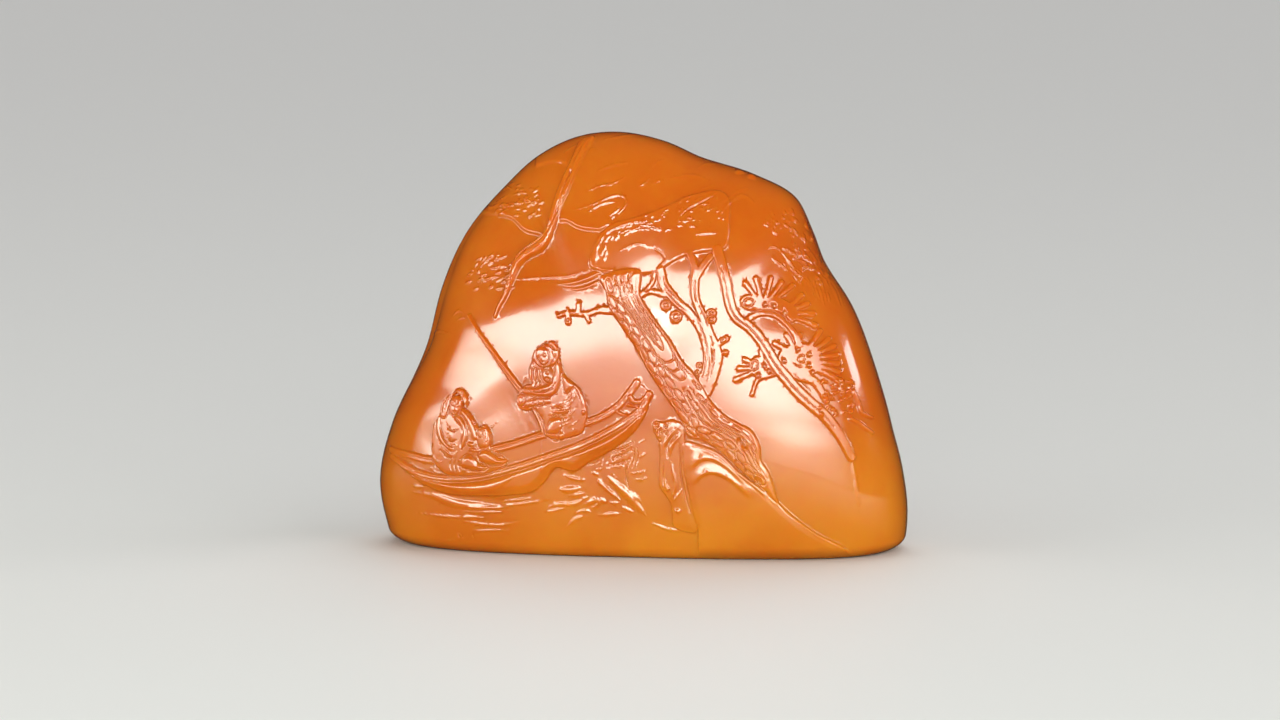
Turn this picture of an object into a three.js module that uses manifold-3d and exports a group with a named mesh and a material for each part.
// A palm-sized pebble of orange soapstone, polished all over and carved in thin relief.
// The front shows a boat with two men on it under an old tree and a pine, between rocks and mist.
// The back carries a plainer range of hills. The whole stone is one solid.
// Millimetres, +Z up, the carved front faces -Y, and the origin is in the flat underside.
import * as THREE from 'three';
import Module from 'manifold-3d';
import { mergeVertices } from 'three/addons/utils/BufferGeometryUtils.js';

const wasm = await Module();
wasm.setup();
const { Manifold, Mesh } = wasm;

// The stone
const HEIGHT = 70;
const HEART = new THREE.Vector3(0, 0, 27); // every point of the skin is seen from here
const FRONT_DEPTH = { foot: 17.8, taper: 5.5 };
const BACK_DEPTH = { foot: 16.0, taper: 4.0 };
const TAPER_POWER = 1.6;
const RIM_POWER = 3.4; // how squarely the outline meets the faces
const CROWN_POWER = 2.3; // how full the faces are
const FOOT_ROUNDING = 2.4; // radius between the sides and the flat underside
const OUTLINE = [ // counter-clockwise from the right, seen from the front
  [44.3, 6.0], [43.4, 13.5], [41.5, 21.0], [38.6, 31.0], [34.6, 41.0], [30.4, 47.5], [28.2, 53.0],
  [25.3, 58.5], [19.0, 62.0], [10.0, 64.8], [3.5, 67.6], [-4.0, 69.0], [-11.0, 68.2], [-17.5, 65.0],
  [-23.5, 59.5], [-30.0, 51.5], [-33.6, 43.5], [-36.0, 34.5], [-38.6, 28.0], [-42.3, 20.0],
  [-44.4, 11.0], [-43.6, 4.5], [-40.0, -4.0], [-26.0, -12.5], [0.0, -16.0], [27.0, -13.5],
  [40.0, -6.5], [43.6, 0.5],
];

// The relief: how far each kind of carving stands above the ground of the stone
const RISE = {
  deck: 0.25, hull: 0.6, rail: 0.85, robe: 0.75, fold: 0.95, head: 1.3, pole: 0.7, trunk: 0.75, bark: 0.5,
  branch: 0.55, needle: 0.45, rock: 0.65, layer: 0.4, leaves: 0.5, curl: 0.7, mist: 0.35, bough: 0.5,
  bank: 0.3, reed: 0.5, wave: 0.25,
};
const HILL = { crest: 0.8, foot: 0.2, brow: 4, fall: 20 }; // each hill thins out between brow and fall below its top
const OUTLINE_STEP = 0.6; // spacing of the points along a carved outline, before it is thinned out
const OUTLINE_SAG = 0.16; // how far a thinned outline may leave the smooth one
const STONE_MIDDLE = 3; // the carved forms start this far from the middle plane, well inside the stone
const PRISM_LENGTH = 30; // and run this far outwards before they are cut to their level

// The facets of the bare stone: their longest edge, and how far they may leave the true surface, which is
// less round the foot and at the rim that makes the outline than on the two faces
const LONGEST_EDGE = 11;
const SAG = { foot: 0.39, rim: 0.29, face: 0.5 };
const RIM_DEPTH = 0.3; // how far out of the middle plane a direction from the heart still counts as the rim
const SPLIT_ROUNDS = 6;

const STONE = { color: 0xd9701e, roughness: 0.18, metalness: 0 };

const smoothstep = THREE.MathUtils.smoothstep;

// Outline: the radius seen from the heart as a smooth closed function of the angle
function outlineRadius() {
  const polar = OUTLINE.map(([x, z]) => ({
    angle: Math.atan2(z - HEART.z, x - HEART.x),
    radius: Math.hypot(x - HEART.x, z - HEART.z),
  })).sort((one, other) => one.angle - other.angle);
  const count = polar.length;
  const knot = (i) => {
    const turn = Math.floor(i / count);
    const point = polar[i - turn * count];
    return { angle: point.angle + turn * 2 * Math.PI, radius: point.radius };
  };
  const slope = (i) => {
    const before = knot(i - 1);
    const after = knot(i + 1);
    return (after.radius - before.radius) / (after.angle - before.angle);
  };
  return (angle) => {
    let i = -1;
    while (knot(i + 1).angle <= angle) i += 1;
    const a = knot(i);
    const b = knot(i + 1);
    const width = b.angle - a.angle;
    const s = (angle - a.angle) / width;
    return (1 + 2 * s) * (1 - s) ** 2 * a.radius + s * (1 - s) ** 2 * width * slope(i)
      + s * s * (3 - 2 * s) * b.radius + s * s * (s - 1) * width * slope(i + 1);
  };
}

const radiusAt = outlineRadius();

function halfDepth(z, side) {
  const climb = THREE.MathUtils.clamp(z / HEIGHT, 0, 1.05);
  return side.foot - side.taper * climb ** TAPER_POWER;
}

// Negative inside the stone and positive outside, roughly in millimetres
function outside(point) {
  const dx = point.x - HEART.x;
  const dz = point.z - HEART.z;
  const across = Math.hypot(dx, dz) / radiusAt(Math.atan2(dz, dx));
  const through = Math.abs(point.y) / halfDepth(point.z, point.y < 0 ? FRONT_DEPTH : BACK_DEPTH);
  const fullness = across ** RIM_POWER + through ** CROWN_POWER;
  const side = 30 * (Math.cbrt(fullness) - 1) + FOOT_ROUNDING;
  const foot = FOOT_ROUNDING - point.z;
  return Math.min(Math.max(side, foot), 0) + Math.hypot(Math.max(side, 0), Math.max(foot, 0)) - FOOT_ROUNDING;
}

// The point of the bare skin along a direction from the heart
function skinPoint(direction) {
  let near = 0;
  let far = 75;
  const point = new THREE.Vector3();
  for (let step = 0; step < 32; step += 1) {
    const middle = (near + far) / 2;
    point.copy(HEART).addScaledVector(direction, middle);
    if (outside(point) > 0) far = middle;
    else near = middle;
  }
  if (Math.abs(point.z) < 1e-5) point.z = 0;
  return point;
}

function skinNormal(point) {
  const reach = 0.02;
  const normal = new THREE.Vector3();
  for (const axis of ['x', 'y', 'z']) {
    const ahead = point.clone();
    const behind = point.clone();
    ahead[axis] += reach;
    behind[axis] -= reach;
    normal[axis] = outside(ahead) - outside(behind);
  }
  return normal.normalize();
}

// Facets: a ball of even triangles is laid on the bare skin, and edges that stray from it are split
function ball() {
  const geometry = new THREE.IcosahedronGeometry(1, 4);
  geometry.deleteAttribute('normal');
  geometry.deleteAttribute('uv');
  const merged = mergeVertices(geometry, 1e-4);
  const places = merged.getAttribute('position');
  const vertices = [];
  for (let i = 0; i < places.count; i += 1) {
    const direction = new THREE.Vector3().fromBufferAttribute(places, i).normalize();
    vertices.push({ direction, point: skinPoint(direction) });
  }
  const order = Array.from(merged.getIndex().array);
  const triangles = [];
  for (let i = 0; i < order.length; i += 3) triangles.push(order.slice(i, i + 3));
  return { vertices, triangles };
}

const edgeName = (a, b) => (a < b ? `${a}_${b}` : `${b}_${a}`);

function strays(a, b) {
  if (a.point.distanceTo(b.point) > LONGEST_EDGE) return true;
  const direction = a.direction.clone().add(b.direction).normalize();
  const point = skinPoint(direction);
  const chord = new THREE.Line3(a.point, b.point);
  const miss = chord.closestPointToPoint(point, true, new THREE.Vector3()).distanceTo(point);
  if (point.z < FOOT_ROUNDING) return miss > SAG.foot;
  return miss > (Math.abs(direction.y) < RIM_DEPTH ? SAG.rim : SAG.face);
}

function splitOnce({ vertices, triangles }, verdicts) {
  const length = (a, b) => vertices[a].point.distanceToSquared(vertices[b].point);
  const edgesOf = ([a, b, c]) => [[a, b], [b, c], [c, a]];
  const marked = new Set();
  for (const triangle of triangles) {
    for (const [a, b] of edgesOf(triangle)) {
      const name = edgeName(a, b);
      if (!verdicts.has(name)) verdicts.set(name, strays(vertices[a], vertices[b]));
      if (verdicts.get(name)) marked.add(name);
    }
  }
  // A split triangle always splits its longest edge too, which keeps slivers out
  for (let spread = true; spread;) {
    spread = false;
    for (const triangle of triangles) {
      const edges = edgesOf(triangle);
      if (!edges.some(([a, b]) => marked.has(edgeName(a, b)))) continue;
      edges.sort((one, other) => length(...other) - length(...one));
      const longest = edgeName(...edges[0]);
      if (!marked.has(longest)) {
        marked.add(longest);
        spread = true;
      }
    }
  }
  const middles = new Map();
  const middle = (a, b) => {
    const name = edgeName(a, b);
    if (!middles.has(name)) {
      const direction = vertices[a].direction.clone().add(vertices[b].direction).normalize();
      middles.set(name, vertices.length);
      vertices.push({ direction, point: skinPoint(direction) });
    }
    return middles.get(name);
  };
  const pieces = triangles.flatMap((triangle) => splitTriangle(triangle, marked, middle, length));
  return { vertices, triangles: pieces };
}

// One triangle cut through its marked edges into two, three or four
function splitTriangle([a, b, c], marked, middle, length) {
  const cut = [marked.has(edgeName(a, b)), marked.has(edgeName(b, c)), marked.has(edgeName(c, a))];
  const count = cut.filter(Boolean).length;
  if (count === 0) return [[a, b, c]];
  if (count === 3) {
    const ab = middle(a, b);
    const bc = middle(b, c);
    const ca = middle(c, a);
    return [[a, ab, ca], [ab, b, bc], [ca, bc, c], [ab, bc, ca]];
  }
  if (count === 1) {
    if (cut[1]) return splitTriangle([b, c, a], marked, middle, length);
    if (cut[2]) return splitTriangle([c, a, b], marked, middle, length);
    const ab = middle(a, b);
    return [[a, ab, c], [ab, b, c]];
  }
  if (!cut[0]) return splitTriangle([b, c, a], marked, middle, length);
  if (!cut[1]) return splitTriangle([c, a, b], marked, middle, length);
  const ab = middle(a, b);
  const bc = middle(b, c);
  if (length(a, b) > length(b, c)) return [[ab, b, bc], [ab, bc, c], [a, ab, c]];
  return [[ab, b, bc], [a, ab, bc], [a, bc, c]];
}

// The bare stone as facets, with the way each corner faces and how fully the carving may reach it:
// carving fades out where the skin turns away
function bareStone() {
  let facets = ball();
  const verdicts = new Map();
  for (let round = 0; round < SPLIT_ROUNDS; round += 1) facets = splitOnce(facets, verdicts);
  for (const vertex of facets.vertices) {
    vertex.normal = skinNormal(vertex.point);
    const sideways = smoothstep(Math.abs(vertex.normal.y), 0.12, 0.4);
    vertex.reach = sideways * (1 - smoothstep(-vertex.normal.z, 0.1, 0.6));
  }
  return facets;
}

const BARE = bareStone();

// The stone grown outwards by a height that depends on the place
function grown(height) {
  const places = BARE.vertices.flatMap(({ point, normal, reach }) => (
    point.clone().addScaledVector(normal, reach * height(point)).toArray()
  ));
  const vertProperties = new Float32Array(places);
  const triVerts = new Uint32Array(BARE.triangles.flat());
  return new Manifold(new Mesh({ numProp: 3, vertProperties, triVerts }));
}

function solid(geometry) {
  for (const name of ['normal', 'uv']) geometry.deleteAttribute(name);
  const merged = mergeVertices(geometry, 1e-4);
  const vertProperties = new Float32Array(merged.getAttribute('position').array);
  const triVerts = new Uint32Array(merged.getIndex().array);
  return new Manifold(new Mesh({ numProp: 3, vertProperties, triVerts }));
}

// A prism of an outline in x and z, which runs from just inside the stone out through its front or back
function prism(outline, back = false) {
  const settings = { depth: PRISM_LENGTH, bevelEnabled: false };
  const geometry = new THREE.ExtrudeGeometry(new THREE.Shape(outline), settings);
  geometry.rotateX(Math.PI / 2);
  geometry.translate(0, back ? STONE_MIDDLE + PRISM_LENGTH : -STONE_MIDDLE, 0);
  return solid(geometry);
}

// A smooth curve through points in x and z
function smoothPath(points, closed) {
  const places = points.map(([x, z]) => new THREE.Vector3(x, z, 0));
  const curve = new THREE.CatmullRomCurve3(places, closed, 'centripetal');
  const path = thinned(curve.getSpacedPoints(Math.ceil(curve.getLength() / OUTLINE_STEP)));
  return closed ? path.slice(0, -1) : path;
}

// The same path without the points that hardly bend it
function thinned(path) {
  const last = path.length - 1;
  const chord = new THREE.Line3(path[0], path[last]);
  const onChord = new THREE.Vector3();
  const gaps = path.map((place) => chord.closestPointToPoint(place, true, onChord).distanceTo(place));
  const worst = gaps.indexOf(Math.max(...gaps));
  if (gaps[worst] < OUTLINE_SAG) return [path[0], path[last]];
  return [...thinned(path.slice(0, worst + 1)).slice(0, -1), ...thinned(path.slice(worst))];
}

// Carving: every form has an outline, seen from the front, and the level that it is raised to
function area(points, level) {
  return { outline: smoothPath(points, true), level };
}

// A band along a path, down one side and back up the other; its width may taper
function band(points, [startWidth, endWidth], level) {
  const path = smoothPath(points, false);
  const last = path.length - 1;
  const left = [];
  const right = [];
  for (let i = 0; i <= last; i += 1) {
    const along = path[Math.min(i + 1, last)].clone().sub(path[Math.max(i - 1, 0)]).normalize();
    const half = THREE.MathUtils.lerp(startWidth, endWidth, i / last) / 2;
    const across = new THREE.Vector3(-along.y, along.x, 0).multiplyScalar(half);
    left.push(path[i].clone().add(across));
    right.unshift(path[i].clone().sub(across));
  }
  return { outline: [...left, ...right], level };
}

// A round or oval outline, turned by an angle in degrees
function oval([x, z], [halfWide, halfTall], degrees, level) {
  const turn = THREE.MathUtils.degToRad(degrees);
  const curve = new THREE.EllipseCurve(x, z, halfWide, halfTall, 0, 2 * Math.PI, false, turn);
  return { outline: curve.getPoints(7).slice(0, -1), level };
}

// A rounded knob that stands on the ground of the stone
function knob([x, z], [halfWide, halfTall], degrees, rise) {
  const geometry = new THREE.SphereGeometry(1, 8, 6);
  geometry.scale(halfWide, rise, halfTall);
  geometry.rotateY(-THREE.MathUtils.degToRad(degrees));
  geometry.translate(x, skinDepth(x, z), z);
  return solid(geometry);
}

// How far forward the bare front lies at a place
function skinDepth(x, z) {
  let near = 0;
  let far = -FRONT_DEPTH.foot - 1;
  for (let step = 0; step < 32; step += 1) {
    const middle = (near + far) / 2;
    if (outside(new THREE.Vector3(x, middle, z)) > 0) far = middle;
    else near = middle;
  }
  return near;
}

function boat() {
  const nearRail = [[-40.5, 15.2], [-36, 13.4], [-31, 12.7], [-25, 13.3], [-19, 14.9], [-13, 17],
    [-8, 18.9], [-4, 20.9], [0, 23.3], [2.2, 25.2], [3.3, 27.4]];
  const farRail = [[-41, 16], [-33, 15.5], [-22.5, 18.1], [-15, 20.7], [-6.9, 23.1], [-3, 25],
    [-0.2, 27.5], [1.3, 29.4]];
  const keel = [[3.2, 25.4], [2.4, 23.2], [1, 21.2], [-2.5, 18.4], [-7, 15.8], [-12, 14.2],
    [-16, 11.2], [-20, 10.2], [-28, 10], [-32.5, 10.4], [-37, 12.6]];
  return [
    area([...farRail, ...nearRail.slice(1).reverse()], RISE.deck),
    area([...nearRail, ...keel], RISE.hull),
    band(farRail, [0.8, 1.0], RISE.rail),
    band(nearRail, [0.8, 1.0], RISE.rail),
    band([[-2.2, 24.6], [-0.6, 23.9], [0.4, 23.9]], [0.7, 0.7], RISE.hull),
    band([[0.2, 27.2], [0.8, 26.3], [1.8, 26.1], [3, 27]], [0.8, 0.8], RISE.hull),
  ];
}

function scholar() {
  const robe = [[-31.2, 24.2], [-32.6, 21.6], [-33, 18], [-32.6, 14.8], [-31, 13.3], [-26, 13.4],
    [-21.5, 14.6], [-20.1, 16], [-22.3, 17.6], [-23, 20.4], [-24.2, 21.7], [-25.6, 21.4],
    [-26.6, 23.2], [-28.6, 24.4]];
  return [
    area(robe, RISE.robe),
    band([[-31.2, 23.2], [-32, 21.5], [-31.9, 19.4], [-31, 17.6], [-29.4, 16.5], [-28.3, 17]], [0.8, 0.7],
      RISE.fold),
    band([[-29.3, 22.8], [-27.9, 22.2], [-27.1, 20.2], [-27.4, 17.8]], [0.7, 0.6], RISE.fold),
    band([[-26.9, 23], [-25.9, 21.4], [-25.2, 19.4], [-25.7, 17.7]], [0.8, 0.7], RISE.fold),
    oval([-24.1, 20.2], [1.1, 1.3], 0, RISE.fold),
    oval([-28, 27.1], [0.9, 0.7], 0, RISE.fold),
    band([[-28.8, 14.6], [-27.2, 16], [-25.4, 15.9], [-23.4, 14.9]], [0.8, 0.9], RISE.fold),
    band([[-24.6, 17], [-22.8, 17], [-20.9, 16]], [0.8, 0.8], RISE.fold),
  ];
}

function boatman() {
  const robe = [[-15.6, 33], [-16.6, 30.6], [-16.3, 28.6], [-17.9, 28], [-18.6, 26], [-17.6, 24.6],
    [-15.7, 24.6], [-14.3, 22.8], [-13.9, 20.4], [-12.4, 19.7], [-8, 20.6], [-6.9, 23], [-7.4, 26.8],
    [-8.6, 28.7], [-10.6, 30], [-11.7, 32.6]];
  return [
    area(robe, RISE.robe),
    oval([-12.3, 35.2], [1.0, 0.8], 30, RISE.fold),
    band([[-17.6, 28], [-15, 27.7], [-13, 28.4], [-12.1, 29.8], [-11.9, 31.6]], [0.8, 0.7], RISE.fold),
    band([[-15.6, 31.2], [-14.8, 29.6], [-13.4, 29.3], [-12.7, 30.4]], [0.6, 0.6], RISE.fold),
    band([[-16.6, 26], [-13.8, 26.2], [-12.6, 26.8]], [0.8, 0.8], RISE.fold),
    band([[-10.9, 30], [-10.9, 27.8], [-9.8, 26.6], [-8.2, 26.8]], [0.7, 0.6], RISE.fold),
    band([[-12.9, 24], [-11.2, 24.4], [-9.6, 25.2], [-9, 26]], [0.9, 0.6], RISE.fold),
    band([[-12.9, 21.6], [-10.6, 22.2], [-8, 23.4]], [0.8, 0.6], RISE.fold),
    band([[-27.5, 39.5], [-23.5, 34.6], [-19.5, 29.5], [-17.6, 27.2]], [0.6, 0.9], RISE.pole),
    band([[-15.6, 25], [-14.3, 22.5], [-14, 19], [-14.4, 14.4]], [0.9, 0.8], RISE.fold + 0.1),
  ];
}

function headsAndHands() {
  return [
    knob([-28.8, 24.9], [1.55, 2.0], -15, RISE.head),
    knob([-13.7, 33.5], [1.7, 1.9], 12, RISE.head),
    knob([-17.8, 26.1], [1.0, 1.0], 0, RISE.head),
    knob([-26.1, 15.7], [1.9, 1.2], -22, RISE.head - 0.1),
  ];
}

function water() {
  const waves = [
    [[-36.5, 10.2], [-30, 8.9], [-27, 8.5], [-22, 8.4], [-15, 9.4]], [[-36, 6.3], [-30, 6.1], [-23, 6.3]],
    [[-29, 5.7], [-24, 5.1], [-18.4, 5.7]],
    [[-10.4, 5.1], [-8.5, 6.7], [-5.5, 7.4], [-1, 7.7]],
  ];
  const reeds = [
    [[-11.5, 11.5], [-9.5, 11.4], [-7.6, 12]], [[-5.3, 13.4], [-3, 11.2], [-1.2, 9.4]],
    [[-3.5, 17.6], [1.5, 19.4]], [[-3.5, 15.6], [0.8, 16.8]],
  ];
  const bank = [[2, 21.4], [1.8, 17.5], [-0.3, 13.5], [0.6, 11.2], [3.2, 7.6], [-3, 7.2], [-8.5, 7.6],
    [-12.8, 8.6], [-11.6, 11.2], [-14.2, 14.4], [-7, 15.6], [-2.5, 18]];
  return [
    area(bank, RISE.bank),
    ...waves.map((wave) => band(wave, [0.5, 0.7], RISE.wave)),
    ...reeds.map((reed) => band(reed, [0.5, 0.7], RISE.reed)),
  ];
}

function rocks() {
  const dome = [[9.4, 19.6], [12, 18.9], [14.5, 18], [18, 14.8], [21.5, 12.4], [24.5, 9.6], [28, 6.3],
    [32, 3], [24, 1.2], [12, 1.2], [11.3, 5], [9.8, 12], [9, 16]];
  const pillar = [[4.4, 22.9], [4.3, 21], [5.2, 18.6], [5.2, 12.5], [6.9, 10], [7.4, 5.9], [10, 5],
    [11, 8], [9.8, 12], [9, 17], [9.2, 20.6], [8.2, 23], [6.2, 23.4]];
  return [area(pillar, RISE.rock - 0.15), area(dome, RISE.rock)];
}

function rockGrooves() {
  return [
    band([[6.3, 17.2], [6.5, 19.1], [7.3, 20.5], [8.3, 21.4]], [0.6, 0.6], RISE.layer - 0.15),
    band([[10, 12.8], [10.4, 15.4], [11.1, 16.8], [12.6, 17.1], [14.4, 16.6], [16.6, 14.8]], [0.7, 0.7],
      RISE.layer),
    band([[11.2, 10.8], [11.7, 13.2], [12.6, 14.2], [14, 14.4], [15.8, 13.6], [17.8, 12]], [0.7, 0.7],
      RISE.layer),
  ];
}

function oldTree() {
  const trunk = [[-4.6, 46.4], [-3.8, 43.4], [-3.2, 41.2], [-1, 37.8], [2, 33.7], [5, 28.7], [8.3, 24.2],
    [10, 20.6], [12.5, 20], [16.5, 16.6], [20, 13.5], [24.4, 9.8], [23, 14.4], [21.6, 17], [21.2, 20.2],
    [19, 22.4], [16.2, 23.6], [14.3, 25.1], [12, 29], [8.7, 32.8], [6, 37], [4, 39.7], [2.3, 42.5],
    [1.4, 46.8], [-1.6, 47.3]];
  const branches = [
    [[5, 47.4], [5.8, 44.4], [8.2, 41.9], [10.8, 39.3], [12.6, 35.4], [12.5, 30.6], [10.8, 27.4]],
    [[9.8, 49.6], [10.5, 46.8], [10.7, 42.5], [12.6, 38], [14.4, 34], [13.6, 30], [12, 26.8]],
    [[12.7, 49.3], [10.9, 46.6]], [[1.6, 43.4], [3.4, 43.9], [5.6, 43.4]],
  ];
  const twigs = [
    [[-2.6, 41], [-6, 40.5], [-9, 40.3], [-11.9, 39.8]], [[-8.5, 40.2], [-8.5, 41.8]],
    [[-10.2, 40.1], [-10.2, 39]], [[-7.2, 40.2], [-6.7, 39]], [[14, 35.2], [15.9, 36.6]],
  ];
  const fruit = [[5.9, 41.8], [7.6, 39.9], [13.4, 40.6], [13.5, 39.5], [11.3, 31.6]];
  return [
    ...branches.map((branch) => band(branch, [1.3, 1.5], RISE.branch)),
    ...twigs.map((twig) => band(twig, [1.0, 0.8], RISE.branch)),
    ...fruit.map((place) => oval(place, [0.9, 0.85], 0, RISE.branch)),
    area(trunk, RISE.trunk),
  ];
}

function barkGrooves() {
  const grain = [
    [[-2.4, 44.4], [-1.2, 41.4], [4, 33.2]], [[-0.4, 45.2], [1.2, 41], [6, 33.6]],
    [[7.4, 29.8], [11.6, 24.2], [17, 18.6]], [[9.8, 29], [13.4, 24.2], [16.8, 21.2]],
  ];
  return [
    ...grain.map((line) => band(line, [0.5, 0.5], RISE.bark)),
    oval([18.7, 19.6], [1.3, 0.8], -48, RISE.bark - 0.1),
    oval([21.2, 14.2], [1.0, 0.6], -55, RISE.bark - 0.1),
  ];
}

// Needles that fan out from a knot in the pine, one towards each of the tips
function needleFan(knot, tips) {
  return tips.map((tip) => {
    const start = [knot[0] + (tip[0] - knot[0]) * 0.35, knot[1] + (tip[1] - knot[1]) * 0.35];
    return band([start, tip], [0.8, 0.7], RISE.needle);
  });
}

function pine() {
  const upper = [[18.8, 45.4], [21.2, 46.4], [23.8, 46], [26.2, 44.8], [28, 42.8], [29.8, 40.2]];
  const lower = [[30.8, 37.4], [32.6, 35.4], [33.6, 32.6], [25.3, 36.6], [23.6, 35.4]];
  const inner = [[18.8, 33.6], [17.4, 31], [20, 28.2], [21.2, 34.6]];
  return [
    area([[18.4, 42.6], [21, 43.6], [24.6, 43], [27, 40.4], [26, 39.4], [22.6, 41], [19.6, 41]], RISE.needle),
    ...needleFan([22, 41], upper),
    area([[24.4, 33], [26, 35], [29, 36.2], [31, 33.8], [30.6, 31], [28, 30.4], [26, 31.4]], RISE.needle),
    ...needleFan([28, 33], lower),
    area([[19.6, 32], [20.8, 33.4], [23, 32.6], [24.2, 31.2], [22, 30.2], [20.4, 30.6]], RISE.needle),
    ...needleFan([21.6, 31.6], inner),
    area([[31.2, 29.4], [33.8, 29.6], [36.4, 27.6], [36.2, 24.6], [33.4, 24.2], [31.8, 26.2]], RISE.needle),
    band([[35.4, 25.4], [37, 23.6], [38.8, 20.8]], [1.0, 0.8], RISE.needle),
    band([[19.2, 39.4], [22.5, 40.3], [25.5, 38.7], [27.5, 35]], [0.9, 0.9], RISE.branch + 0.1),
    band([[14.3, 50.4], [15.6, 45.4], [16.6, 40.8], [19.7, 38.2], [22.6, 34.2], [25.8, 29.9],
      [29.3, 26], [32.4, 22.8], [35.8, 17]], [1.7, 1.1], RISE.branch + 0.1),
  ];
}

function canopy() {
  const leaves = [[-6.4, 48.4], [-4.6, 47.4], [-1, 47], [3, 47.1], [6, 48.5], [9.5, 50], [13, 50.7],
    [15.4, 51.4], [15.4, 55], [15.4, 58.4], [12, 59.6], [6, 58], [0, 56.2], [-4.4, 54], [-6, 51]];
  const tufts = [[22.4, 56], [24.6, 52.4], [27.6, 52.8], [29.2, 48.6]];
  return [
    band([[-22, 45.8], [-18, 45.6], [-12, 46.2], [-7, 47.4], [-4, 48]], [0.7, 0.9], RISE.mist),
    band([[-11.9, 45], [-8, 45.6], [-5, 46.8], [-2, 47.1]], [0.6, 0.9], RISE.curl),
    area(leaves, RISE.leaves),
    band([[-5.2, 50.4], [-3.8, 52.6], [-1, 54], [3, 54.8]], [0.6, 0.8], RISE.curl),
    band([[8, 55.2], [10.6, 56.4], [13.6, 58]], [0.7, 0.7], RISE.curl),
    band([[14.2, 56], [15.6, 58.4], [17.6, 59.8], [19.4, 59], [20.6, 56.6]], [1.0, 1.0], RISE.curl),
    ...tufts.map((place) => oval(place, [1.4, 0.8], -50, RISE.mist)),
  ];
}

function bough() {
  const sprays = [[-22.6, 58.4, 35], [-18.6, 57.4, -10], [-25.6, 47, 25], [-22, 47.6, 5]];
  return [
    band([[-20.4, 44.6], [-18.4, 48.4], [-15, 51.2], [-13.6, 54.4], [-12.6, 58.2], [-11, 62.6],
      [-9.4, 67]], [1.0, 2.0], RISE.bough),
    band([[-29, 54], [-26, 55.5], [-21, 55.3], [-18.5, 53.4], [-14.6, 52.8]], [0.6, 0.8], RISE.mist),
    band([[-12.4, 55], [-8.8, 54.1], [-5.4, 53.8]], [0.7, 0.6], RISE.mist),
    band([[-7.8, 59.8], [-4, 61.2], [-1, 62.5]], [0.6, 0.7], RISE.mist),
    band([[-7.4, 56.6], [-4.5, 58.2], [-2, 58.6], [-1.4, 57.4], [-3.4, 55.4]], [0.6, 0.6], RISE.mist),
    ...sprays.map(([x, z, lean]) => oval([x, z], [1.9, 0.8], lean, RISE.mist)),
  ];
}

// Raises every form in a list to its level: forms of one level are joined before they are cut to the skin
function raised(forms) {
  const levels = new Set(forms.map((form) => form.level));
  return [...levels].map((level) => {
    const prisms = forms.filter((form) => form.level === level).map((form) => prism(form.outline));
    return Manifold.union(prisms).intersect(grown(() => level));
  });
}

// Everything that has to go so that grooves reach down to their levels
function cutAway(grooves) {
  const levels = new Set(grooves.map((groove) => groove.level));
  return [...levels].map((level) => {
    const prisms = grooves.filter((groove) => groove.level === level).map((groove) => prism(groove.outline));
    return Manifold.union(prisms).subtract(grown(() => level));
  });
}

// The back: ranges of hills. Each is a slab that is thickest along its crest and runs down behind the next
function hills() {
  const ranges = [
    [[-36, 26], [-28, 42], [-17, 52], [-11, 49], [-2, 57], [8, 49], [14, 51], [28, 42], [36, 26]],
    [[-41, 11], [-35, 28], [-24, 38], [-15, 34], [3, 37], [14, 41], [26, 31], [35, 27], [41, 10]],
    [[-43, 1.5], [-37, 13], [-18, 19], [-6, 25], [7, 18], [26, 20], [38, 12], [43, 1.5]],
  ];
  return ranges.map((crest) => {
    const line = smoothPath(crest, false);
    const top = Math.max(...line.map(({ y }) => y));
    const climb = (z) => smoothstep(z, top - HILL.fall, top - HILL.brow);
    const height = ({ z }) => THREE.MathUtils.lerp(HILL.foot, HILL.crest, climb(z));
    return prism(line, true).intersect(grown(height));
  });
}

function pebbleGeometry() {
  const forms = [bough, canopy, pine, water, boat, scholar, boatman, oldTree, rocks].flatMap((make) => make());
  const stone = Manifold.union([grown(() => 0), ...raised(forms), ...headsAndHands(), ...hills()]);
  const carved = Manifold.union(cutAway([...rockGrooves(), ...barkGrooves()]));
  const { vertProperties, triVerts } = stone.subtract(carved).getMesh();
  const geometry = new THREE.BufferGeometry();
  geometry.setAttribute('position', new THREE.BufferAttribute(vertProperties, 3));
  geometry.setIndex(new THREE.BufferAttribute(triVerts, 1));
  geometry.computeVertexNormals();
  return geometry;
}

const pebble = new THREE.Mesh(pebbleGeometry(), new THREE.MeshStandardMaterial(STONE));
pebble.name = 'carved_pebble';

const group = new THREE.Group();
group.add(pebble);

export default group;
